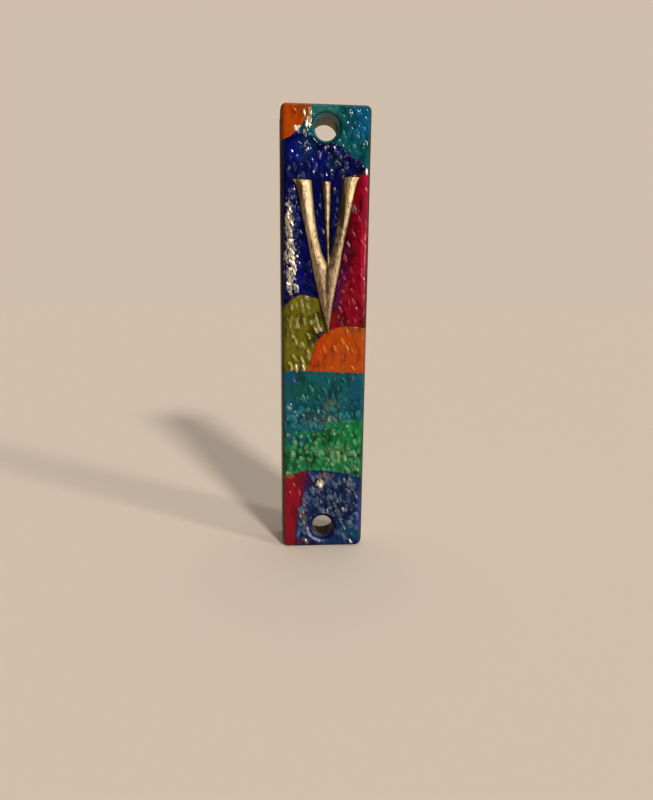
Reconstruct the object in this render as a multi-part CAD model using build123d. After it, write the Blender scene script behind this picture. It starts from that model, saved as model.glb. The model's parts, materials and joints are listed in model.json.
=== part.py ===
from build123d import *
from math import tan, radians
import os

# A slim cast pewter case for a doorpost. Its front is painted in ten fields of thick
# enamel round an applied three-armed emblem. A rolled parchment in a clear sleeve lies in
# a pocket in its back, and a plate that slides up in a dovetail channel shuts it in.
# Millimetres, +Z up, the front faces -Y. The back plane is y = 0, and the origin lies on
# it, midway between the two screw holes.

# driving dimensions
HEIGHT = 100.5
WIDTH = 20.2              # at the back plane
DEPTH = 9.5               # back plane to enamelled face
DRAFT = 4.0               # degrees, so the front is narrower than the back
CORNER_R = 1.6            # outline corners
EDGE_R = 1.2              # front edge, over the enamel
ENAMEL = 0.4              # thickness of the enamel coat
WRAP = 3.6                # how far the enamel runs down the sides, from the face

SCREW_SPACING = 90.0
SCREW_HOLE_R = 2.4
COUNTERSINK_R = 3.5
SCREW_SEAT = 3.2          # thickness of the case where the screws pass, over the enamel
TOP_HOLLOW_R = 2.9        # round hollow cored out of the back behind the top screw seat
FOOT_HOLLOW_R = 4.4       # and the wider one behind the bottom screw seat

POCKET_WIDTH = 11.4
POCKET_HEIGHT = 73.0
POCKET_R = 2.0
FRONT_WALL = 1.1          # metal left in front of the pocket

COVER_THICKNESS = 1.0
COVER_RECESS = 0.1        # cover's back lies this far inside the back plane
COVER_GAP = 0.08          # all round, so that it slides
COVER_BACK_WIDTH = 12.0   # at the cover's outer face
DOVETAIL = 45.0           # degrees from the back plane's normal
COVER_BOTTOM = -38.0
COVER_TOP = 38.6
NAIL_GROOVE_R = 1.1       # round groove for a thumbnail near the cover's top
NAIL_GROOVE_LENGTH = 7.0
NAIL_GROOVE_DROP = 6.0    # from the cover's top
NAIL_GROOVE_AXIS = 0.5    # behind the back plane

PARCHMENT = 0.28          # thickness
ROLL_PITCH = 0.36         # growth of the roll's radius in one turn
ROLL_INNER_R = 0.75
ROLL_TURNS = 6
SCROLL_LENGTH = 70.0
SLEEVE_R = 3.25
SLEEVE_WALL = 0.15
SLEEVE_LENGTH = 72.0
POCKET_SLACK = 0.1        # between the sleeve and the pocket's front wall

EMBLEM_RISE = 0.9         # above the enamelled face
PEG_R = 0.6
PEG_LENGTH = 0.7
PEG_GAP = 0.03

metal_face = -(DEPTH - ENAMEL)
pocket_floor = metal_face + FRONT_WALL
channel_floor = -(COVER_RECESS + COVER_THICKNESS + COVER_GAP / 2)
roll_y = pocket_floor + POCKET_SLACK + SLEEVE_R
pocket_bottom = -POCKET_HEIGHT / 2
peg_places = [(-4.3, 30.0), (4.9, 30.0), (0.75, 11.0)]
screw_hollows = [(SCREW_SPACING / 2, TOP_HOLLOW_R), (-SCREW_SPACING / 2, FOOT_HOLLOW_R)]
far = 1.5 * WIDTH         # beyond every edge of the case


def drafted_bar(inset):
    """The whole case's outer form, or the same form with every painted face set in.

    Its sides and top lean in towards the front, as cast faces do. Its foot is cut square,
    so that the case stands upright.
    """
    width, height, corner = WIDTH - 2 * inset, HEIGHT - 2 * inset, CORNER_R - inset
    spare = DEPTH + CORNER_R
    outline = Plane.XZ * Pos(0, -spare / 2) * RectangleRounded(width, height + spare, corner)
    bar = extrude(outline, amount=DEPTH - inset, taper=DRAFT)
    above_foot = Pos(0, 0, -height / 2) * Box(
        2 * far, 2 * far, 2 * HEIGHT, align=(Align.CENTER, Align.CENTER, Align.MIN)
    )
    bar = bar & above_foot
    foot = bar.faces().sort_by(Axis.Z)[0]
    foot_corners = [edge for edge in foot.edges() if abs((edge % 0.5).Y) > 0.9]
    bar = fillet(foot_corners, corner)
    return fillet(bar.faces().sort_by(Axis.Y)[0].edges(), EDGE_R - inset)


def upright_prism(sketch, front, back):
    """A sketch drawn in x and z, made solid from one depth to another."""
    return extrude(Plane.XZ.offset(-back) * sketch, amount=back - front)


def screw_cuts():
    """Both countersunk screw holes and the hollows behind them, as solids to take away."""
    cuts = []
    flare = COUNTERSINK_R - SCREW_HOLE_R
    for z, hollow_radius in screw_hollows:
        place = Plane((0, 0, z), x_dir=(1, 0, 0), z_dir=(0, -1, 0))
        bore = place * Cylinder(SCREW_HOLE_R, DEPTH, align=(Align.CENTER, Align.CENTER, Align.MIN))
        hollow = place * Cylinder(
            hollow_radius, DEPTH - SCREW_SEAT, align=(Align.CENTER, Align.CENTER, Align.MIN)
        )
        mouth = place.offset(DEPTH - flare) * Cone(
            SCREW_HOLE_R, COUNTERSINK_R, flare, align=(Align.CENTER, Align.CENTER, Align.MIN)
        )
        cuts += [bore, mouth, hollow]
    return cuts


def emblem_sketch():
    """Three arms that meet in one point, the outer two flared to sharp tips."""
    left_out = Spline((-7.2, 34.7), (-5.3, 29.0), (-2.9, 17.0), (0.8, 2.0))
    right_out = Spline((0.8, 2.0), (3.4, 17.0), (5.3, 27.2), (7.3, 35.2))
    right_top = Line((7.3, 35.2), (3.5, 34.8))
    right_in = Spline((3.5, 34.8), (2.7, 27.2), (1.0, 18.0))
    middle_right = Line((1.0, 18.0), (1.15, 34.3))
    middle_top = Line((1.15, 34.3), (-0.95, 34.3))
    middle_left = Line((-0.95, 34.3), (0.3, 16.6))
    left_in = Spline((0.3, 16.6), (-1.2, 21.3), (-2.3, 28.0), (-2.9, 34.1))
    left_top = Line((-2.9, 34.1), (-7.2, 34.7))
    return make_face(
        [left_out, right_out, right_top, right_in, middle_right, middle_top, middle_left, left_in, left_top]
    )


def make_emblem():
    """The applied emblem with the three pegs that locate it in the casting."""
    emblem = upright_prism(emblem_sketch(), -(DEPTH + EMBLEM_RISE), metal_face)
    for x, z in peg_places:
        emblem += upright_prism(Pos(x, z) * Circle(PEG_R), metal_face, metal_face + PEG_LENGTH)
    return emblem


def dovetail(back_width, z_low, z_high, y_back, y_front):
    """A plate that is wider inside than at its back, standing from z_low to z_high."""
    spread = (y_back - y_front) * tan(radians(DOVETAIL))
    half = back_width / 2
    section = make_face(
        Polyline(
            (-half, y_back), (half, y_back), (half + spread, y_front), (-half - spread, y_front), close=True
        )
    )
    return extrude(Plane.XY.offset(z_low) * section, amount=z_high - z_low)


def make_cover():
    """The sliding back plate, with a round groove near its top for a thumbnail."""
    back, front = -COVER_RECESS, -(COVER_RECESS + COVER_THICKNESS)
    cover = dovetail(COVER_BACK_WIDTH, COVER_BOTTOM, COVER_TOP, back, front)
    groove_place = Pos(0, NAIL_GROOVE_AXIS, COVER_TOP - NAIL_GROOVE_DROP) * Rot(0, 90, 0)
    return cover - groove_place * Cylinder(NAIL_GROOVE_R, NAIL_GROOVE_LENGTH)


def make_body(paint_shell):
    """The casting: the bar without its enamel, pocket, cover channel and holes."""
    body = drafted_bar(0) - paint_shell
    pocket = upright_prism(RectangleRounded(POCKET_WIDTH, POCKET_HEIGHT, POCKET_R), pocket_floor, 0)
    channel_back = COVER_BACK_WIDTH + 2 * COVER_GAP - 2 * COVER_RECESS * tan(radians(DOVETAIL))
    channel = dovetail(channel_back, COVER_BOTTOM - COVER_GAP, HEIGHT, 0, channel_floor)
    body = body - pocket - channel
    for cut in screw_cuts():
        body -= cut
    for x, z in peg_places:
        body -= upright_prism(
            Pos(x, z) * Circle(PEG_R + PEG_GAP), metal_face, metal_face + PEG_LENGTH + PEG_GAP
        )
    return body


def make_paint_shell():
    """The whole enamel coat: the front and the nearest part of each side, in one piece."""
    keep = Pos(0, -DEPTH + WRAP, 0) * Box(
        2 * far, 2 * WRAP, 2 * HEIGHT, align=(Align.CENTER, Align.MAX, Align.CENTER)
    )
    return (drafted_bar(0) - drafted_bar(ENAMEL)) & keep


def closed(curve, *rest):
    """A face inside one free curve and the straight lines that close it."""
    start, end = curve @ 0, curve @ 1
    corners = [(end.X, end.Y), *rest, (start.X, start.Y)]
    return make_face([curve, Polyline(*corners)])


def field_sketches():
    """The borders of the enamel fields, each laid over what the ones before it left."""
    top, left, right = HEIGHT, -far, far
    orange_corner_edge = Spline(
        (left, 39.0), (-9.2, 42.4), (-5.9, 44.4), (-4.6, 46.2), (-3.4, 48.1), (-3.9, 52.0)
    )
    orange_mid_edge = Spline(
        (-4.1, -6.8), (-2.7, -2.7), (-0.3, 1.6), (2.1, 2.9), (4.8, 3.4), (right, 4.4)
    )
    teal_edge = Spline(
        (left, 43.8), (-5.2, 43.6), (-1.5, 42.8), (1.3, 42.2), (4.9, 40.0), (6.8, 38.6), (right, 30.0)
    )
    olive_edge = Spline((left, 4.0), (-8.8, 7.9), (-5.2, 10.3), (-1.2, 9.3), (0.6, 8.8))
    green_top_edge = Spline((left, -22.8), (-8.9, -22.5), (-1.0, -21.1), (6.3, -19.2), (right, -18.0))
    green_foot_edge = Spline((left, -33.0), (-8.9, -31.9), (-2.4, -30.6), (1.8, -30.9), (right, -33.2))
    red_foot_edge = Spline((-4.4, -28.0), (-4.6, -36.0), (-5.7, -41.5), (-6.6, -52.0))
    crimson = Polyline((5.6, 35.8), (right, 35.8), (right, 0), (0.8, 0), (0.8, 2.2), (0.6, 8.8), close=True)
    navy = Polyline((left, top), (right, top), (right, 0), (left, 0), close=True)
    blue_foot = Polyline((left, 0), (right, 0), (right, -top), (left, -top), close=True)
    return {
        "enamel_orange_corner": closed(orange_corner_edge, (-3.9, top), (left, top)),
        "enamel_teal_top": closed(teal_edge, (right, top), (left, top)),
        "enamel_orange_mid": closed(orange_mid_edge, (right, -8.0)),
        "enamel_olive": closed(olive_edge, (0.8, 2.2), (0.8, -6.8), (left, -6.8)),
        "enamel_crimson": make_face(crimson),
        "enamel_navy": make_face(navy),
        "enamel_teal_band": closed(green_top_edge, (right, 10), (left, 10)),
        "enamel_green_band": closed(green_foot_edge, (right, -10), (left, -10)),
        "enamel_red_foot": closed(red_foot_edge, (left, -52.0), (left, -28.0)),
        "enamel_blue_foot": make_face(blue_foot),
    }


def make_fields(paint_shell):
    """The coat cut into its fields, up to the emblem's sides and the screw holes' mouths."""
    left_over = paint_shell
    for cut in screw_cuts():
        left_over -= cut
    left_over -= upright_prism(emblem_sketch(), -2 * DEPTH, metal_face + ENAMEL)
    fields = {}
    for name, sketch in field_sketches().items():
        region = upright_prism(sketch, -2 * DEPTH, DEPTH)
        fields[name] = left_over & region
        left_over -= region
    return fields


def make_scroll():
    """The parchment rolled up: two rows of half circles about two centres, joined at their ends."""
    inner, outer = [], []
    for half_turn in range(2 * ROLL_TURNS):
        radius = ROLL_INNER_R + half_turn * ROLL_PITCH / 2
        lower = half_turn % 2
        centre = ((lower - 0.5) * ROLL_PITCH / 2, 0)
        inner.append(CenterArc(centre, radius, 180 * lower, 180))
        outer.append(CenterArc(centre, radius + PARCHMENT, 180 * lower, 180))
    first = Line(inner[0] @ 0, outer[0] @ 0)
    last = Line(inner[-1] @ 1, outer[-1] @ 1)
    sheet = make_face([*inner, last, *outer, first])
    low = pocket_bottom + POCKET_SLACK + (SLEEVE_LENGTH - SCROLL_LENGTH) / 2
    return Pos(0, roll_y, low) * extrude(sheet, amount=SCROLL_LENGTH)


def make_sleeve():
    """The clear tube round the scroll, standing on the pocket's lower end."""
    ring = Circle(SLEEVE_R) - Circle(SLEEVE_R - SLEEVE_WALL)
    return Pos(0, roll_y, pocket_bottom + POCKET_SLACK) * extrude(ring, amount=SLEEVE_LENGTH)


paint_shell = make_paint_shell()
nodes = {
    "case_body": make_body(paint_shell),
    "shin_emblem": make_emblem(),
    "back_cover": make_cover(),
    "parchment_scroll": make_scroll(),
    "scroll_sleeve": make_sleeve(),
    **make_fields(paint_shell),
}
os.makedirs("parts", exist_ok=True)
for name, shape in nodes.items():
    export_step(shape, f"parts/{name}.step")
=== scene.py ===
import bpy
import json
from math import cos, pi, radians, sin
from mathutils import Matrix, Vector
from random import Random


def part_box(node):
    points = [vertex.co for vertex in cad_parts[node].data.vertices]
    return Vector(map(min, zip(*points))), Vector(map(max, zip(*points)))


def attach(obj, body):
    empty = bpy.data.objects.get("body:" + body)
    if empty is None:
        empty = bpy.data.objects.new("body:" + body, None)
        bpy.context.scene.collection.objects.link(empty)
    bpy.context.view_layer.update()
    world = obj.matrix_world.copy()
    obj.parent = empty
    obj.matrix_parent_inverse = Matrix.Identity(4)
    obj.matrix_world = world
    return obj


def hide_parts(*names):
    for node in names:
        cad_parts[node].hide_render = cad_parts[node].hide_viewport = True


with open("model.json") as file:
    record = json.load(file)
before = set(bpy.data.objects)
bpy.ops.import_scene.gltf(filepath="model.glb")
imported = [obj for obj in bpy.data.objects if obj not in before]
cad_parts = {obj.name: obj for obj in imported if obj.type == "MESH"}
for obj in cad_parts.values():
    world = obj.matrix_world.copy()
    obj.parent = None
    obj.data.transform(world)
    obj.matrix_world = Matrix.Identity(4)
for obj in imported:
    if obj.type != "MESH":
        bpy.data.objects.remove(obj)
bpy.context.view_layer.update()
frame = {"nodes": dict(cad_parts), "record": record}
nodes = frame["nodes"]
MM = 0.001


# ---- The table it stands on, the light and the camera -----------------------------------
# A plain pale board in a dim room. The main lamp is high on the right in front, two weaker
# ones beside it rake across the relief, and a broad one overhead lights the board.

def swatch(red, green, blue):
    """A colour as it looks, from 0 to 255, made linear."""
    return tuple(((c / 255 + 0.055) / 1.055) ** 2.4 for c in (red, green, blue)) + (1.0,)


PALE = swatch(208, 190, 172)

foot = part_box("case_body")[0].z
bpy.ops.mesh.primitive_plane_add(size=6, location=(0, 0, 0))
board = bpy.context.active_object
board.name = "board"
board.data.transform(Matrix.Translation((0, 0, foot)))
pale_board = bpy.data.materials.new("pale_board")
pale_board.use_nodes = True
limewash = pale_board.node_tree.nodes["Principled BSDF"]
limewash.inputs["Base Color"].default_value = swatch(234, 222, 208)
limewash.inputs["Roughness"].default_value = 1.0
limewash.inputs["Specular IOR Level"].default_value = 0.0
board.data.materials.append(pale_board)

room = bpy.data.worlds.new("room")
bpy.context.scene.world = room
room.use_nodes = True
walls = room.node_tree.nodes["Background"]
walls.inputs["Color"].default_value = PALE
ray = room.node_tree.nodes.new("ShaderNodeLightPath")
seen = room.node_tree.nodes.new("ShaderNodeMapRange")
seen.inputs["To Min"].default_value = 0.16
seen.inputs["To Max"].default_value = 1.0
room.node_tree.links.new(ray.outputs["Is Camera Ray"], seen.inputs["Value"])
room.node_tree.links.new(seen.outputs[0], walls.inputs["Strength"])
bpy.context.scene.view_settings.view_transform = "Standard"


def lamp(name, towards, strength, spread, colour):
    """A far soft lamp that shines from a direction, its disc spread over so many degrees."""
    light = bpy.data.lights.new(name, "SUN")
    light.energy = strength
    light.angle = radians(spread)
    light.color = colour[:3]
    holder = bpy.data.objects.new(name, light)
    bpy.context.scene.collection.objects.link(holder)
    holder.rotation_euler = Vector(towards).to_track_quat("Z", "Y").to_euler()


lamp("key_lamp", (0.36, -0.76, 0.54), 1.9, 8, swatch(255, 246, 236))
lamp("low_side_lamp", (0.80, -0.58, 0.06), 0.75, 6, swatch(255, 250, 244))
lamp("high_side_lamp", (0.76, -0.46, 0.44), 0.75, 6, swatch(255, 250, 244))
lamp("top_lamp", (0.05, 0.15, 1.0), 0.7, 40, swatch(255, 250, 244))

CAMERA_PLACE = (-7.0 * MM, -127.9 * MM, 10.1 * MM)
CAMERA_TURN, CAMERA_DIP, CAMERA_TILT = 3.71, 11.27, 0.65     # degrees: right, down, anticlockwise
LENS = 23.4              # mm, with a sensor 36 mm along the frame's long side
camera = bpy.data.objects.new("camera", bpy.data.cameras.new("camera"))
bpy.context.scene.collection.objects.link(camera)
camera.data.lens = LENS
camera.data.clip_start = 0.005
camera.matrix_world = (
    Matrix.Translation(CAMERA_PLACE)
    @ Matrix.Rotation(radians(-CAMERA_TURN), 4, "Z")
    @ Matrix.Rotation(radians(90 - CAMERA_DIP), 4, "X")
    @ Matrix.Rotation(radians(CAMERA_TILT), 4, "Z")
)
bpy.context.scene.camera = camera


# ---- The casting ----------------------------------------------------------------------
# One pewter casting, its sides and top slightly drafted. It is left as it came from the
# mould, with a grey bloom in its hollows, and its back is rubbed flat on a stone.
# Its screw bores and their hollows are coloured dark brown as painted shade.

class Amount:
    """What one socket gives over a surface, with sums written as plain expressions."""

    def __init__(self, socket):
        self.socket = socket

    def sum(self, operation, *terms):
        tree = self.socket.id_data
        node = tree.nodes.new("ShaderNodeMath")
        node.operation = operation
        for slot, term in zip(node.inputs, terms):
            if isinstance(term, Amount):
                tree.links.new(term.socket, slot)
            else:
                slot.default_value = term
        return Amount(node.outputs[0])

    def __add__(self, other):
        return self.sum("ADD", self, other)

    def __sub__(self, other):
        return self.sum("SUBTRACT", self, other)

    def __rsub__(self, other):
        return self.sum("SUBTRACT", other, self)

    def __mul__(self, other):
        return self.sum("MULTIPLY", self, other)

    def __truediv__(self, other):
        return self.sum("DIVIDE", self, other)

    def __pow__(self, other):
        return self.sum("POWER", self, other)

    __radd__ = __add__
    __rmul__ = __mul__


class Finish:
    """One material: a principled shader, and places on the case in millimetres."""

    def __init__(self, name, **constants):
        self.material = bpy.data.materials.new(name)
        self.material.use_nodes = True
        self.tree = self.material.node_tree
        self.shader = self.tree.nodes["Principled BSDF"]
        for words, value in constants.items():
            self.shader.inputs[words.replace("_", " ")].default_value = value
        place = self.node("ShaderNodeTexCoord", {}, {}, "Object")
        self.place = self.node("ShaderNodeVectorMath", {"operation": "SCALE"}, {0: place, "Scale": 1 / MM})
        axes = self.node("ShaderNodeSeparateXYZ", {}, {0: self.place}, None)
        self.x, self.y, self.z = (Amount(out) for out in axes.outputs)

    def node(self, kind, settings, values, output=0):
        node = self.tree.nodes.new(kind)
        for setting, value in settings.items():
            setattr(node, setting, value)
        for slot, value in values.items():
            if isinstance(value, Amount):
                self.tree.links.new(value.socket, node.inputs[slot])
            else:
                node.inputs[slot].default_value = value
        return node if output is None else Amount(node.outputs[output])

    def noise(self, size, stretch=(1, 1, 1), lean=0.0, detail=2.0, shift=0.0):
        """Soft noise, 0 to 1, its lumps `size` mm across and stretched along leaning axes."""
        where = self.node(
            "ShaderNodeMapping", {},
            {"Vector": self.place, "Rotation": (0, radians(lean), 0), "Location": (shift, 0, 0),
             "Scale": tuple(1 / s for s in stretch)},
        )
        return self.node(
            "ShaderNodeTexNoise", {}, {"Vector": where, "Scale": 1 / size, "Detail": detail}
        )

    def rise(self, amount, low, high):
        """0 below low and 1 above high, with a smooth climb between."""
        return self.node(
            "ShaderNodeMapRange", {"interpolation_type": "SMOOTHSTEP"},
            {"Value": amount, "From Min": low, "From Max": high},
        )

    def most(self, first, second):
        """The greater of two amounts."""
        return self.node("ShaderNodeMath", {"operation": "MAXIMUM"}, {0: first, 1: second})

    def mix(self, share, first, second):
        return self.node(
            "ShaderNodeMix", {"data_type": "RGBA", "clamp_factor": True}, {0: share, 6: first, 7: second}, 2
        )

    def patch(self, x, z, width, height, rough=0.35, size=1.6):
        """A ragged oval, 1 inside, centred at x and z."""
        far = (((self.x - x) / width) ** 2 + ((self.z - z) / height) ** 2) ** 0.5
        far = far + (self.noise(size, detail=3.0) - 0.5) * (2 * rough)
        return 1 - self.rise(far, 0.75, 1.1)

    def bump(self, height, depth):
        """Roughens the surface by depth mm where height runs from 0 to 1."""
        normal = self.node("ShaderNodeBump", {}, {"Height": height, "Distance": depth * MM, "Strength": 1.0})
        self.feed(Normal=normal)

    def feed(self, **links):
        for words, amount in links.items():
            self.tree.links.new(amount.socket, self.shader.inputs[words.replace("_", " ")])


def dress(piece, finish):
    """Gives a piece one finish all over."""
    piece.data.materials.clear()
    piece.data.materials.append(finish.material)


BRIGHT_PEWTER = swatch(206, 190, 160)
DULL_PEWTER = swatch(140, 128, 108)
DARK_PEWTER = swatch(62, 56, 48)

FUNNEL_R = 3.75          # painted mouth of a screw hole
FUNNEL_FOOT = -8.4       # y where the mouth narrows to the bore
POCKET_STAIN = 46.0, 38.0    # squares of the half widths where the pocket's stain ends and is full
TOP_SHADE_R = 3.0         # painted shade over the bore and hollow of the top screw hole
FOOT_SHADE_R = 4.5        # and of the bottom one, whose hollow is wider
SCREW_HEIGHT = 45.0      # of each screw hole over and under the middle

cast = Finish("cast_pewter", Metallic=0.85)
mottle = cast.noise(2.2, detail=5.0)
grain = cast.noise(0.25, detail=2.0)
colour = cast.mix(cast.rise(mottle, 0.25, 0.8), DULL_PEWTER, BRIGHT_PEWTER)
pocket = cast.rise(cast.y, -1.0, -2.5) * cast.rise(cast.x * cast.x, *POCKET_STAIN)
colour = cast.mix(pocket * 0.6, colour, DARK_PEWTER)
paint = 0.0
for height, shade_radius, tone in (
    (SCREW_HEIGHT, TOP_SHADE_R, swatch(0, 84, 90)), (-SCREW_HEIGHT, FOOT_SHADE_R, swatch(2, 14, 62))
):
    reach = (cast.x ** 2 + (cast.z - height) ** 2) ** 0.5
    # Painted shade: each screw hole's bore and hollow coloured dark brown out to its radius.
    colour = cast.mix(cast.rise(reach, shade_radius + 0.1, shade_radius), colour, swatch(92, 74, 42))
    mouth = cast.rise(reach, FUNNEL_R + 0.05, FUNNEL_R)
    mouth = mouth * cast.rise(cast.y, FUNNEL_FOOT + 0.05, FUNNEL_FOOT - 0.05)
    colour = cast.mix(mouth, colour, tone)
    paint = mouth + paint
cast.feed(Base_Color=colour, Roughness=0.34 + mottle * 0.28, Metallic=(1 - paint) * 0.85, Coat_Weight=paint)
cast.bump(grain * 0.5 + mottle * 0.5, 0.05)
dress(nodes["case_body"], cast)


# ---- The enamel fields ------------------------------------------------------------------
# Ten fields of thick glossy enamel brushed over a cast relief of small pebbles, rings and
# strokes. The colour pools dark between the marks, partly painted shade, and is rubbed thin
# on top of them, partly painted highlight, with painted glints on some tops.

rng = Random(613)
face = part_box("enamel_navy")[0].y
FACE_MM = face / MM
stamps = {}


def only(piece):
    """Makes one object the only one selected, and active."""
    bpy.ops.object.select_all(action="DESELECT")
    piece.select_set(True)
    bpy.context.view_layer.objects.active = piece


def apply(piece, kind, **settings):
    """Adds a modifier with these settings and applies it."""
    only(piece)
    modifier = piece.modifiers.new(kind.lower(), kind)
    for setting, value in settings.items():
        setattr(modifier, setting, value)
    bpy.ops.object.modifier_apply(modifier=modifier.name)


def keep_stamp(name):
    """Takes the newly made primitive off the scene and keeps its mesh to be copied."""
    made = bpy.context.active_object
    stamps[name] = made.data
    bpy.data.objects.remove(made)


bpy.ops.mesh.primitive_ico_sphere_add(subdivisions=2, radius=1)
keep_stamp("pebble")
bpy.ops.mesh.primitive_uv_sphere_add(segments=10, ring_count=8, radius=1)
keep_stamp("stroke")
for stamp in ("ring", "arc"):
    bpy.ops.mesh.primitive_torus_add(
        major_radius=1, minor_radius=0.42, major_segments=14, minor_segments=7, rotation=(pi / 2, 0, 0)
    )
    bpy.ops.object.transform_apply(location=False)
    if stamp == "arc":
        bpy.ops.object.mode_set(mode="EDIT")
        bpy.ops.mesh.select_all(action="SELECT")
        bpy.ops.mesh.bisect(plane_co=(0, 0, -0.1), plane_no=(0, 0, 1), use_fill=True, clear_inner=True)
        bpy.ops.object.mode_set(mode="OBJECT")
    keep_stamp(stamp)

STAMP_SIZE = {       # half width, height above the face and half length in mm
    "pebble": (0.5, 0.4, 0.62),
    "stroke": (0.27, 0.42, 0.95),
    "ring": (0.58, 0.4, 0.8),
    "arc": (0.57, 0.4, 0.82),
}


def inside(field, x, z, reach):
    """Whether the field's front lies behind a mark of this reach, with its centre at x, z."""
    for dx, dz in ((0, 0), (reach, 0), (-reach, 0), (0, reach), (0, -reach)):
        hit, where, _, _ = field.ray_cast(((x + dx) * MM, 2 * face, (z + dz) * MM), (0, 1, 0))
        if not hit or where.y > face + 0.02 * MM:
            return False
    return True


def press(field, kind, x, z, lean=0.0, size=1.0, tall=1.0):
    """Copies a stamp onto the field's front at x, z in mm, or does nothing off the field."""
    half, height, length = STAMP_SIZE[kind]
    if not inside(field, x, z, 0.8 * size * max(half, length * 0.7)):
        return []
    mesh = stamps[kind].copy()
    mesh.transform(
        Matrix.Translation((x * MM, face, z * MM))
        @ Matrix.Rotation(radians(lean), 4, "Y")
        @ Matrix.Diagonal((half * size * MM, height * tall * MM, length * size * MM, 1))
    )
    mark = bpy.data.objects.new("mark", mesh)
    bpy.context.scene.collection.objects.link(mark)
    return [mark]


def spread(field, kinds, x_range, z_range, pitch, lean=-22.0, size=1.0, share=0.9):
    """Rows of marks over a stretch of the field, each a little out of place and size."""
    made = []
    across = int((x_range[1] - x_range[0]) / pitch[0])
    down = int((z_range[1] - z_range[0]) / pitch[1])
    for row in range(down + 1):
        for place in range(across + 1):
            x = x_range[0] + (place + 0.5 * (row % 2) + rng.uniform(-0.4, 0.4)) * pitch[0]
            z = z_range[0] + (row + rng.uniform(-0.25, 0.25)) * pitch[1]
            kind = rng.choice(kinds)
            turn = lean + rng.uniform(-14, 14)
            grown = size * rng.uniform(0.6, 1.25)
            tall = rng.uniform(0.4, 1.1)
            if rng.random() < share:
                made += press(field, kind, x, z, turn, grown, tall)
    return made


def grain_texture(name, kind, size, **settings):
    """A procedural texture for the displacement of a mesh, its lumps size mm across."""
    made = bpy.data.textures.new(name, kind)
    made.noise_scale = size * MM
    for setting, value in settings.items():
        setattr(made, setting, value)
    return made


RELIEF = {
    "knots": grain_texture("knots", "VORONOI", 1.25, distance_metric="DISTANCE_SQUARED"),
    "brush": grain_texture("brush", "CLOUDS", 0.75, noise_depth=2),
}
SHOULDER = 0.3           # the relief starts this far behind the face, in mm
FADE = 0.25              # and is full this much further forward


def weigh(field, rule):
    """A vertex group with 1 on the front, times what the rule gives at x, z, and 0 behind."""
    group = field.vertex_groups.new(name="relief")
    for vertex in field.data.vertices:
        x, y, z = vertex.co / MM
        front = min(1.0, max(0.0, (FACE_MM + SHOULDER - y) / FADE))
        group.add([vertex.index], front * rule(x, z), "REPLACE")
    return group.name


def raise_front(field, texture, height, lean, stretch, rule, middle=0.5):
    """Raises the field's front by a texture stretched along a leaning axis.

    A negative height turns the texture's lows into domes.
    """
    holder = bpy.data.objects.new("relief_axes", None)
    bpy.context.scene.collection.objects.link(holder)
    holder.rotation_euler = (0, radians(lean), 0)
    holder.scale = (1, 1, stretch)
    bpy.context.view_layer.update()
    group = weigh(field, rule)
    apply(
        field, "DISPLACE", texture=RELIEF[texture], texture_coords="OBJECT", texture_coords_object=holder,
        strength=-height * MM, mid_level=middle, direction="Y", vertex_group=group,
    )
    field.vertex_groups.clear()
    bpy.data.objects.remove(holder)


def everywhere(x, z):
    return 1.0


VOXEL = 0.14             # grain of the remeshed skin
LAP = 0.16               # each coat laps over its neighbours by this much


def field_piece(node, marks_of, relief):
    """The CAD field with its marks melted in under one skin of enamel."""
    skin = nodes[node].data.copy()
    field = bpy.data.objects.new(node.replace("enamel_", "") + "_enamel", skin)
    bpy.context.scene.collection.objects.link(field)
    only(field)
    bpy.ops.object.mode_set(mode="EDIT")
    bpy.ops.mesh.select_all(action="SELECT")
    bpy.ops.mesh.remove_doubles(threshold=1e-6)
    bpy.ops.object.mode_set(mode="OBJECT")
    bpy.context.view_layer.update()
    marks = marks_of(field)
    only(field)
    for mark in marks:
        mark.select_set(True)
    bpy.ops.object.join()
    apply(field, "REMESH", mode="VOXEL", voxel_size=VOXEL * MM)
    for layer in relief:
        raise_front(field, *layer)
    apply(field, "SMOOTH", factor=0.5, iterations=1)
    apply(field, "DISPLACE", strength=LAP * MM, mid_level=0.0, direction="NORMAL")
    only(field)
    bpy.ops.object.shade_smooth()
    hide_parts(node)
    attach(field, "case")
    return field


SKIRT = -6.9, -6.4       # y where the enamel runs out on the sides, bare beyond
EDGE_SHADE_REACH = 8.7, 9.4           # distance from the middle at which the long edges turn a dull dark green, partly painted shade
STREAK_LEAN = -20.0      # of the brush strokes, in degrees


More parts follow.
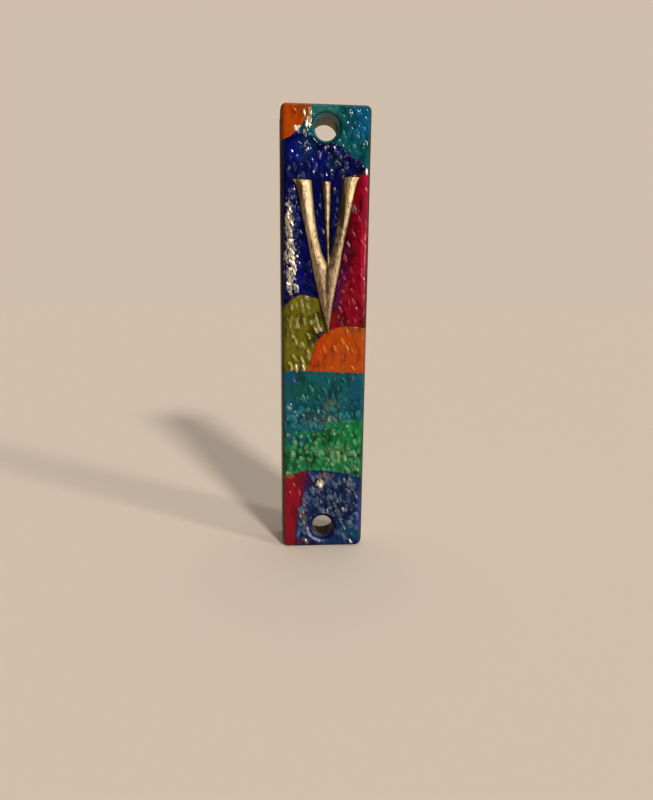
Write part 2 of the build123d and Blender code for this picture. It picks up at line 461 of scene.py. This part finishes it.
def enamel(name, deep, body, light, wear, patches, bare_spots, shift):
    """A glossy enamel: deep with painted shade in the hollows, light with painted highlight on the marks,
    painted glints and bare on some tops.
    """
    coat = Finish(name, Coat_Roughness=0.06, Specular_IOR_Level=0.0)
    streak = coat.noise(1.3, (1.0, 1.0, 2.4), STREAK_LEAN, 3.0, shift)
    cloud = coat.noise(4.0, shift=shift + 7)
    fleck = coat.noise(0.45, (1.0, 1.0, 1.8), STREAK_LEAN, 2.0, shift + 3)
    worn = coat.noise(1.5, detail=1.0, shift=shift + 5)
    scratch = coat.noise(0.55, (1.0, 1.0, 3.0), STREAK_LEAN - 10, 1.0, shift + 9)
    colour = coat.mix(coat.rise(streak * 0.65 + cloud * 0.35, 0.34, 0.56), deep, body)
    for patch_colour, strength, *oval in patches:
        share = coat.patch(*oval) * (0.6 + 1.2 * (streak - 0.5)) * strength
        colour = coat.mix(share, colour, patch_colour)
    above = FACE_MM - coat.y
    high = coat.rise(above, 0.2, 0.38)
    # Darker in the hollows between the marks: pooled enamel, and painted shade.
    pooled_and_shaded = coat.rise(above, 0.02, -0.2)
    colour = coat.mix(pooled_and_shaded * 0.5, colour, deep)
    # Pale on some raised tops where the enamel is rubbed thin, partly painted highlight.
    colour = coat.mix(high * coat.rise(worn, 0.3, 0.5) * 0.6, colour, light)
    # Painted glints: thin pale streaks on the raised marks.
    painted_glint = coat.rise(above, 0.17, 0.32) * coat.rise(scratch, 0.66, 0.74)
    colour = coat.mix(painted_glint * 0.65, colour, PAINTED_GLINT_TONE)
    bare = high * coat.rise(worn + wear, 0.58, 0.64) * coat.rise(scratch, 0.46, 0.56)
    for spot in bare_spots:
        bare = coat.most(bare, coat.patch(*spot) * coat.rise(scratch + above * 0.3, 0.45, 0.53))
    side = coat.rise(coat.y + (cloud - 0.5) * 1.6 + (fleck - 0.5) * 1.2, *SKIRT)
    # A dull dark green along both long edges: an edge wash, and painted shade.
    edge_wash_and_shade = coat.rise((coat.x ** 2) ** 0.5 + (streak - 0.5) * 0.8, *EDGE_SHADE_REACH)
    colour = coat.mix(edge_wash_and_shade * 0.3, colour, EDGE_WASH_AND_SHADE)
    bare = coat.most(bare, side)
    metal = coat.mix(coat.rise(fleck, 0.3, 0.6), DULL_PEWTER, FLECK_PEWTER)
    coat.feed(
        Base_Color=coat.mix(bare, colour, metal),
        Metallic=bare * 0.8,
        Roughness=0.24 + bare * 0.14 + (fleck - 0.5) * 0.2,
        Coat_Weight=(1 - bare * 0.8) * 0.34,
    )
    coat.bump(fleck, 0.06)
    return coat


FLECK_PEWTER = swatch(222, 210, 186)
EDGE_WASH_AND_SHADE = swatch(74, 78, 58)
PAINTED_GLINT_TONE = swatch(178, 196, 188)
ORANGE = (swatch(132, 42, 0), swatch(168, 66, 2), swatch(214, 120, 50))
TEAL = (swatch(0, 50, 54), swatch(2, 82, 90), swatch(40, 122, 132))
NAVY = (swatch(0, 0, 36), swatch(2, 8, 72), swatch(40, 62, 122))
CRIMSON = (swatch(60, 0, 8), swatch(124, 0, 24), swatch(190, 50, 80))
OLIVE = (swatch(54, 48, 0), swatch(98, 92, 8), swatch(190, 182, 104))
GREEN = (swatch(0, 46, 22), swatch(12, 108, 60), swatch(100, 160, 112))
RED = (swatch(88, 0, 12), swatch(128, 0, 24), swatch(190, 60, 80))
BLUE = (swatch(0, 6, 42), swatch(4, 38, 90), swatch(90, 110, 132))
PURPLE = swatch(54, 6, 62)


def teal_top_marks(field):
    marks = spread(field, ["ring", "pebble", "stroke"], (4.4, 8.4), (39.0, 47.5), (2.0, 2.2), size=0.9)
    marks += spread(field, ["stroke"], (-4.5, -2.8), (43.0, 48.5), (1.4, 1.7), -32, 0.8)
    return marks


def navy_marks(field):
    marks = spread(field, ["stroke", "stroke", "arc"], (-8.4, 8.6), (35.6, 43.2), (1.9, 1.9), -24, 0.9, 0.7)
    marks += spread(field, ["stroke", "pebble"], (-8.4, -6.2), (16.0, 32.5), (1.0, 1.15), -38, 0.9, 1.0)
    marks += press(field, "ring", -7.5, 14.6, 0, 1.25) + press(field, "ring", -6.8, 11.8, 0, 1.2)
    marks += spread(field, ["stroke"], (-2.0, -0.2), (21.0, 33.0), (1.2, 1.7), -14, 0.6, 0.8)
    return marks + spread(field, ["stroke"], (1.5, 3.0), (22.0, 33.0), (1.1, 1.7), -14, 0.6, 0.8)


def crimson_marks(field):
    marks = spread(field, ["stroke"], (3.0, 9.0), (4.5, 35.0), (1.9, 2.4), -26, 0.8, 0.5)
    return marks + press(field, "pebble", 6.2, 28.8, -20, 1.5)


def olive_marks(field):
    marks = []
    for x, lean in ((-7.4, 4), (-6.2, -2), (-5.0, -8), (-3.8, -14), (-2.5, -19), (-1.4, -24)):
        for step in range(3):
            z = 8.3 - step * 1.9 - abs(x + 5) * 0.45
            marks += press(field, "stroke", x + step * sin(radians(-lean)) * 1.8, z, lean, 1.15, 0.36)
    for x, z in (
        (-7.2, 1.5), (-6.6, 0.2), (-3.6, 1.2), (-2.0, 2.6), (-4.8, -0.9), (-3.8, -2.0), (-6.9, -3.7),
        (-5.0, -4.3), (-7.6, -5.6), (-6.4, -6.0), (-4.7, -6.0),
    ):
        marks += press(field, "stroke", x, z, -22 + rng.uniform(-12, 12), rng.uniform(0.9, 1.3), 1.2)
    return marks


def orange_mid_marks(field):
    return spread(field, ["stroke"], (-2.4, 8.6), (-6.0, 2.6), (2.3, 2.1), -26, 0.85, 0.32)


def teal_band_marks(field):
    marks = spread(field, ["stroke"], (-8.4, 8.6), (-13.0, -8.8), (2.3, 2.0), -26, 0.95, 0.75)
    return marks + spread(
        field, ["ring", "pebble", "arc", "stroke"], (-8.2, 8.6), (-21.8, -14.6), (1.7, 1.9), -24, 1.0, 0.95
    )


def green_marks(field):
    marks = spread(
        field, ["pebble", "stroke", "pebble"], (-8.2, 8.8), (-23.6, -20.0), (2.2, 1.9), -22, 1.0, 0.95
    )
    for x, z, kind, size in (
        (-7.2, -26.5, "pebble", 1.5), (-5.4, -27.6, "pebble", 1.0), (-3.4, -27.0, "ring", 1.2),
        (-0.7, -26.6, "pebble", 1.7), (1.1, -28.0, "pebble", 0.9), (2.8, -27.2, "ring", 1.5),
        (5.1, -27.8, "pebble", 1.0), (7.1, -26.7, "pebble", 1.6),
    ):
        marks += press(field, kind, x, z, -24, size, 1.3)
    return marks + spread(field, ["stroke", "pebble"], (-8.2, 8.8), (-30.4, -29.8), (2.2, 1.5), -24, 0.8, 0.6)


def red_foot_marks(field):
    return spread(field, ["stroke"], (-8.5, -5.2), (-48.0, -33.0), (2.2, 3.6), -20, 0.9, 0.6)


LIP_R = 3.72             # raised lip on the bottom screw hole's mouth
LIP_THICK = 0.24


def blue_foot_marks(field):
    """Close strokes, and a raised lip of enamel on the lower left of the screw hole's mouth."""
    marks = spread(
        field, ["stroke", "stroke", "arc", "ring"], (-5.6, 8.8), (-48.6, -32.6), (1.35, 1.55), -26, 0.95, 0.97
    )
    bpy.ops.object.select_all(action="DESELECT")
    bpy.ops.mesh.primitive_torus_add(
        major_radius=LIP_R * MM, minor_radius=LIP_THICK * MM, major_segments=64, minor_segments=10,
        location=(0, face, -SCREW_HEIGHT * MM), rotation=(pi / 2, 0, 0),
    )
    lip = bpy.context.active_object
    bpy.ops.object.transform_apply()
    bpy.ops.object.mode_set(mode="EDIT")
    for across, down in ((1.0, -0.15), (-0.1, 1.0)):
        bpy.ops.mesh.select_all(action="SELECT")
        bpy.ops.mesh.bisect(
            plane_co=(-0.4 * MM, face, -SCREW_HEIGHT * MM), plane_no=(across, 0, down),
            use_fill=True, clear_outer=True,
        )
    bpy.ops.object.mode_set(mode="OBJECT")
    return marks + [lip]


def orange_corner_marks(field):
    return spread(field, ["stroke"], (-8.0, -5.0), (45.0, 48.0), (2.4, 2.4), -26, 0.8, 0.5)


def navy_relief(x, z):
    """Full on the left strip, where above 1 it only fades later at the edge, and soft elsewhere."""
    return 1.3 if x < -5.8 and 10 < z < 33 else (0.8 if z > 35 else 0.35)


def band_relief(x, z):
    """Grows from the smooth top of the teal band to its rough foot."""
    return 0.35 + 0.65 * min(1.0, max(0.0, (-11.0 - z) / 4.0))


def knots(height, lean, stretch, rule=everywhere):
    """A layer of low domes, this high in mm, leaning in degrees and drawn out along the lean."""
    return ("knots", -height, lean, stretch, rule, 0.35)


SMOOTH = ("brush", 0.16, -24, 2.4, everywhere)

# For each node: its marks, relief layers, tones, share worn bare, patches and bare spots.
# A patch is (colour, strength, x, z, width, height, raggedness, lump size) in mm, and a bare
# spot is the same without colour and strength.
FIELDS = {
    "enamel_orange_corner": (orange_corner_marks, [SMOOTH], ORANGE, -0.08, [
        (swatch(96, 62, 8), 0.9, -4.6, 48.6, 1.6, 1.8, 0.5),
    ], [(-4.1, 46.8, 0.8, 2.2, 0.8, 0.7), (-5.8, 44.7, 1.4, 0.7, 0.8, 0.7)]),
    "enamel_teal_top": (
        teal_top_marks, [knots(0.34, -26, 2.0), SMOOTH], TEAL, -0.04, [
            (swatch(0, 84, 140), 0.9, 7.0, 46.5, 3.0, 4.2),
            (swatch(50, 128, 110), 0.6, -0.5, 48.6, 3.2, 1.6),
            (swatch(0, 56, 36), 0.8, 4.6, 46.6, 1.4, 2.6),
            (swatch(10, 30, 110), 0.9, -5.0, 44.2, 1.4, 0.9, 0.6),
        ], [(-3.7, 46.6, 0.7, 2.4, 0.9, 0.6), (-5.6, 43.9, 1.6, 0.7, 0.9, 0.6)]),
    "enamel_navy": (navy_marks, [knots(0.4, -26, 2.2, navy_relief), SMOOTH], NAVY, -0.03, [
        (swatch(6, 48, 84), 0.7, -4.6, 40.6, 2.8, 2.4),
        (swatch(8, 12, 124), 0.9, -6.6, 40.0, 1.6, 2.4),
        (swatch(6, 10, 116), 0.7, -1.6, 38.6, 2.4, 1.8),
        (swatch(6, 10, 116), 0.7, -6.4, 14.0, 2.0, 4.0),
        (swatch(4, 52, 84), 0.5, 1.5, 38.0, 2.0, 1.4),
    ], [
        (-7.9, 24.5, 0.9, 6.4, 1.0, 0.8), (-7.6, 17.5, 1.3, 4.0, 1.1, 0.7), (-7.4, 12.8, 1.0, 2.6, 1.0, 0.6),
        (9.0, 36.6, 0.5, 1.3, 0.2),
    ]),
    "enamel_crimson": (
        crimson_marks, [knots(0.153, -22, 2.6), SMOOTH], CRIMSON, -0.1, [
            (PURPLE, 1.1, 2.6, 13.5, 1.6, 7.0, 0.4),
            (PURPLE, 0.8, 4.6, 18.0, 1.4, 6.0, 0.6),
            # painted highlight: a pink strip down the right edge
            (swatch(180, 26, 66), 0.8, 8.6, 24.0, 0.8, 16.0, 0.3),
            (swatch(120, 120, 100), 0.7, 6.2, 28.8, 0.7, 1.1, 1.0, 0.5),
            (swatch(40, 0, 10), 0.9, 5.2, 22.0, 1.6, 8.0, 1.4, 1.6),
        ], []),
    "enamel_olive": (olive_marks, [knots(0.3, -20, 1.8), SMOOTH], OLIVE, 0.0, [
        (swatch(4, 6, 30), 1.4, -1.0, 1.8, 1.0, 1.4, 0.3, 0.8),
    ], [(-7.3, -6.5, 0.5, 0.5, 0.5, 0.5), (-5.0, -6.5, 0.6, 0.5, 0.5, 0.5), (-0.6, 2.8, 0.3, 0.6, 0.5)]),
    "enamel_orange_mid": (orange_mid_marks, [knots(0.18, -24, 2.0), SMOOTH], ORANGE, -0.1, [
        (swatch(186, 58, 6), 0.8, -1.8, -1.5, 2.2, 3.6),
        (swatch(136, 78, 4), 0.6, 7.4, 2.6, 2.4, 1.8),
    ], []),
    "enamel_teal_band": (teal_band_marks, [knots(0.5, -22, 1.5, band_relief), SMOOTH], TEAL, -0.06, [
        (swatch(4, 60, 118), 0.7, -7.6, -8.6, 2.0, 1.6),
        (swatch(0, 72, 48), 0.8, -4.0, -11.5, 4.6, 2.2),
        (swatch(0, 66, 98), 0.9, 7.6, -12.5, 2.0, 4.8),
        (swatch(0, 74, 108), 0.7, -7.0, -17.0, 2.2, 3.0),
        (swatch(96, 106, 84), 0.8, 1.4, -14.6, 1.8, 1.4, 1.4, 0.7),
        (swatch(92, 112, 102), 0.7, 0.0, -18.4, 4.8, 1.8, 1.6, 0.8),
        (swatch(4, 30, 48), 0.9, -2.0, -17.0, 5.0, 2.2, 1.8, 0.9),
        (GREEN[1], 1.8, 5.5, -19.8, 5.2, 1.7, 0.8, 1.0),
        (GREEN[1], 1.4, -3.5, -21.9, 3.0, 0.9, 0.8, 1.0),
    ], []),
    "enamel_green_band": (green_marks, [knots(0.5, -16, 1.3), SMOOTH], GREEN, -0.03, [
        (TEAL[1], 1.4, -6.4, -23.4, 3.6, 1.3, 0.8, 1.0),
        (swatch(0, 122, 58), 0.9, 7.6, -22.5, 1.8, 2.8),
        (swatch(84, 112, 50), 0.6, 2.6, -26.0, 3.0, 1.6, 0.5),
        (swatch(0, 76, 82), 0.8, 5.4, -31.6, 2.2, 1.4),
        (swatch(104, 134, 94), 0.6, 3.0, -27.4, 1.0, 1.6, 0.4),
        # painted shade: small dark spots in the hollows between the big lumps
        *((swatch(0, 26, 14), 0.9, x, -26.8, 0.45, 1.0, 0.3, 0.8) for x in (-6.0, -2.1, 0.9, 4.4, 6.2)),
        *((swatch(0, 26, 14), 0.9, x, -22.0, 0.5, 0.8, 0.3, 0.8) for x in (-1.2, 3.3, 7.4)),
    ], []),
    "enamel_red_foot": (red_foot_marks, [SMOOTH], RED, -0.12, [
        (PURPLE, 1.2, -4.6, -42.0, 1.0, 2.4, 0.4),
        (swatch(70, 0, 40), 1.1, -4.9, -36.0, 0.8, 5.5, 0.5),
        (swatch(70, 0, 44), 1.1, -6.0, -45.0, 0.7, 4.5, 0.5),
        (swatch(110, 100, 60), 0.8, -8.0, -31.9, 1.6, 0.6, 0.6, 0.7),
    ], []),
    "enamel_blue_foot": (blue_foot_marks, [knots(0.5, -26, 1.8), SMOOTH], BLUE, -0.04, [
        (PURPLE, 1.4, -3.6, -33.4, 1.3, 2.2, 0.4),
        (swatch(96, 10, 54), 0.9, -4.6, -40.0, 0.8, 4.6, 0.5),
        (swatch(110, 72, 30), 1.0, 0.4, -31.9, 1.9, 0.7, 0.9, 0.6),
        (swatch(2, 2, 24), 0.8, 2.4, -39.0, 6.0, 5.0, 2.0, 1.0),
        (swatch(8, 76, 82), 0.6, 6.6, -46.6, 3.2, 2.2),
        (swatch(40, 54, 132), 0.8, 8.8, -40.5, 0.7, 6.5, 0.4),
        (swatch(84, 104, 88), 0.7, -4.4, -44.0, 0.9, 2.4, 0.7, 0.7),
        (swatch(96, 8, 30), 0.9, -5.2, -48.8, 2.4, 0.7, 0.5, 0.8),
        # painted highlight: pale violet along the raised lip on the lower left of the hole's mouth
        *(
            (
                swatch(140, 142, 182), 1.2, LIP_R * sin(radians(turn)),
                -SCREW_HEIGHT - LIP_R * cos(radians(turn)), 0.42, 0.42, 0.2, 0.7,
            )
            for turn in range(-84, -6, 8)
        ),
    ], [(-0.7, -33.9, 1.1, 1.1, 0.4, 0.9)]),
}

for shift, (node, (marks_of, relief, tones, wear, patches, bare_spots)) in enumerate(FIELDS.items()):
    piece = field_piece(node, marks_of, relief)
    dress(piece, enamel(node, *tones, wear, patches, bare_spots, shift=11.0 * shift))
    next(s["material_slot"] for s in frame["record"]["subparts"] if s["node"] == node)


# ---- The emblem -------------------------------------------------------------------------
# Three tapered arms that meet in a point, cast in pewter, dressed with a hammer and brushed.
# Pegs on its back hold it in the casting, and its rounded arms stand out of the enamel.
# Its facets carry painted shade and painted highlights, and it darkens towards its point and foot.

emblem_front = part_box("shin_emblem")[0].y
WALL = 0.3               # share of an arm's height that stands up straight
LEFT_RIDGE, MIDDLE_RIDGE, RIGHT_RIDGE = -0.4, -0.15, 0.2    # ridge's place, in half widths


def arm(name, ridge, stations):
    """One arm as a ridged bar, extruded down through (z, left, right, height share) in mm."""
    top, left, right, share = stations[0]
    bpy.ops.object.select_all(action="DESELECT")
    bpy.ops.mesh.primitive_circle_add(vertices=32, radius=1, fill_type="NGON")
    bar = bpy.context.active_object
    bar.name = name
    for vertex in bar.data.vertices:
        if vertex.co.y < -0.01:
            front = -vertex.co.y
            vertex.co.y = -(WALL + (1 - WALL) * (1 - abs(vertex.co.x) ** 1.7))
            vertex.co.x += ridge * front
        else:
            vertex.co.y *= 0.5
    rise = (face - emblem_front) / MM
    middle, half = (left + right) / 2, (right - left) / 2
    bar.data.transform(
        Matrix.Translation((middle * MM, face, top * MM))
        @ Matrix.Diagonal((half * MM, rise * share * MM, 1, 1))
    )
    bpy.ops.object.mode_set(mode="EDIT")
    bpy.ops.mesh.select_all(action="SELECT")
    for (z0, l0, r0, h0), (z1, l1, r1, h1) in zip(stations, stations[1:]):
        step = ((l1 + r1 - l0 - r0) / 2 * MM, 0, (z1 - z0) * MM)
        bpy.ops.mesh.extrude_region_move(TRANSFORM_OT_translate={"value": step})
        bpy.ops.transform.resize(
            value=((r1 - l1) / (r0 - l0), h1 / h0, 1), center_override=((l1 + r1) / 2 * MM, face, z1 * MM)
        )
    bpy.ops.mesh.select_all(action="SELECT")
    bpy.ops.mesh.normals_make_consistent(inside=False)
    bpy.ops.object.mode_set(mode="OBJECT")
    return bar


left_arm = arm("left_arm", LEFT_RIDGE, [
    (34.55, -7.3, -2.9, 0.8), (34.2, -6.85, -2.9, 0.9), (33.4, -6.3, -2.85, 1), (31.0, -5.75, -2.6, 1),
    (27.0, -4.95, -2.2, 1), (23.0, -4.05, -1.55, 1), (19.5, -3.35, -0.65, 1), (16.8, -2.8, 0.7, 1),
    (14.5, -2.3, 1.8, 1), (11.5, -1.6, 2.0, 1), (8.6, -0.95, 1.7, 1), (5.0, 0.0, 1.35, 0.95),
    (2.9, 0.55, 1.1, 0.8), (1.9, 0.8, 0.95, 0.6),
])
right_arm = arm("right_arm", RIGHT_RIDGE, [
    (35.2, 3.45, 7.45, 0.8), (34.8, 3.42, 7.1, 0.9), (33.6, 3.35, 6.6, 1), (31.0, 3.15, 6.05, 1),
    (27.0, 2.7, 5.3, 1), (23.0, 2.05, 4.4, 1), (19.5, 1.3, 3.75, 1), (16.8, 0.2, 3.4, 1),
    (14.5, -1.1, 2.95, 1), (11.5, -1.2, 2.35, 1), (8.6, -0.8, 1.9, 1), (5.0, 0.02, 1.44, 0.95),
    (2.9, 0.56, 1.12, 0.8), (1.9, 0.8, 0.95, 0.6),
])
middle_arm = arm("middle_arm", MIDDLE_RIDGE, [
    (34.2, -0.98, 1.15, 0.7), (33.8, -0.9, 1.12, 0.85), (30.5, -0.5, 1.12, 0.85), (26.0, -0.15, 1.0, 0.8),
    (22.0, 0.2, 0.95, 0.75), (18.5, 0.38, 0.95, 0.7), (16.0, 0.4, 1.0, 0.6),
])
only(left_arm)
right_arm.select_set(True)
middle_arm.select_set(True)
bpy.ops.object.join()
emblem = bpy.context.active_object
emblem.name = "emblem"
hammer = grain_texture("hammer_marks", "CLOUDS", 1.1, noise_depth=1)
apply(emblem, "REMESH", mode="VOXEL", voxel_size=0.1 * MM)
apply(emblem, "SMOOTH", factor=0.5, iterations=5)
apply(emblem, "DISPLACE", texture=hammer, texture_coords="LOCAL", strength=0.05 * MM)
only(emblem)
bpy.ops.object.shade_smooth()

brushed = Finish("brushed_pewter", Metallic=1.0)
strokes = brushed.noise(0.3, (1.0, 1.0, 4.0), 30.0, 3.0)
blotch = brushed.noise(1.4, detail=4.0)
low = brushed.rise(brushed.y, -10.12, -9.72)
rubbed = brushed.rise(blotch * 0.4 + strokes * 0.6, 0.32, 0.62)
tone = brushed.mix(rubbed, swatch(96, 76, 52), swatch(190, 168, 132))
# Painted shade: the arms darker towards their point.
tone = brushed.mix(brushed.rise(brushed.z, 22.0, 6.0) * 0.5, tone, swatch(122, 96, 78))
for painted_light_and_shade, strength, *oval in (          # painted shade on the facets turned from the light, and painted highlights on the broad faces
    (swatch(84, 60, 34), 0.8, -5.7, 32.4, 0.9, 3.6), (swatch(70, 56, 28), 0.85, 3.5, 30.0, 0.75, 6.5),
    (swatch(92, 64, 40), 0.7, -0.5, 31.0, 0.5, 4.5), (swatch(222, 196, 140), 0.7, 5.2, 32.6, 0.8, 2.8),
    (swatch(198, 178, 144), 0.6, -3.6, 28.0, 0.8, 8.0), (swatch(70, 52, 30), 0.6, 0.4, 13.5, 0.5, 3.0),
):
    tone = brushed.mix(brushed.patch(*oval) * strength, tone, painted_light_and_shade)
# Dark patina low on the arms, which also paints the shadow line where they meet the enamel.
tone = brushed.mix(low * 0.9, tone, swatch(64, 44, 24))
brushed.feed(Base_Color=tone, Roughness=0.34 + strokes * 0.2 + low * 0.1)
brushed.bump(strokes * 0.6 + brushed.noise(0.3) * 0.4, 0.07)
dress(emblem, brushed)
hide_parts("shin_emblem")
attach(emblem, "case")


# ---- The back plate ---------------------------------------------------------------------
# A strip of sheet pewter with slanted edges that slides down the dovetail channel. It is
# rubbed up and down with fine grit, and a groove near its top takes a thumbnail.

sheet = Finish("sheet_pewter", Metallic=1.0)
rub = sheet.noise(0.3, (1.0, 1.0, 14.0), 1.5, 4.0)
stain = sheet.noise(7.0, detail=4.0)
sheet.feed(
    Base_Color=sheet.mix(sheet.rise(stain, 0.35, 0.7), swatch(150, 142, 126), swatch(198, 190, 172)),
    Roughness=0.3 + rub * 0.24 + (stain - 0.5) * 0.2,
)
sheet.bump(rub, 0.03)
dress(nodes["back_cover"], sheet)


# ---- The parchment and its sleeve -------------------------------------------------------
# A blank skin rolled up from one end, with its cloudy warm tone, inside a clear film tube
# that keeps it off the metal.

skin = Finish("parchment", Roughness=0.75)
cloudy = skin.noise(9.0, detail=4.0)
pores = skin.noise(0.4, detail=3.0)
skin.feed(
    Base_Color=skin.mix(
        skin.rise(cloudy * 0.8 + pores * 0.2, 0.35, 0.65), swatch(206, 180, 132), swatch(236, 220, 184)
    )
)
skin.bump(pores, 0.03)
dress(nodes["parchment_scroll"], skin)

film = Finish("clear_film", Alpha=0.22, Coat_Weight=1.0, Coat_Roughness=0.04)
crease = film.noise(2.0, (1.0, 1.0, 5.0), detail=3.0)
film.feed(
    Base_Color=film.mix(crease, swatch(206, 212, 214), swatch(240, 244, 246)),
    Roughness=0.08 + crease * 0.12,
)
film.bump(crease, 0.06)
dress(nodes["scroll_sleeve"], film)
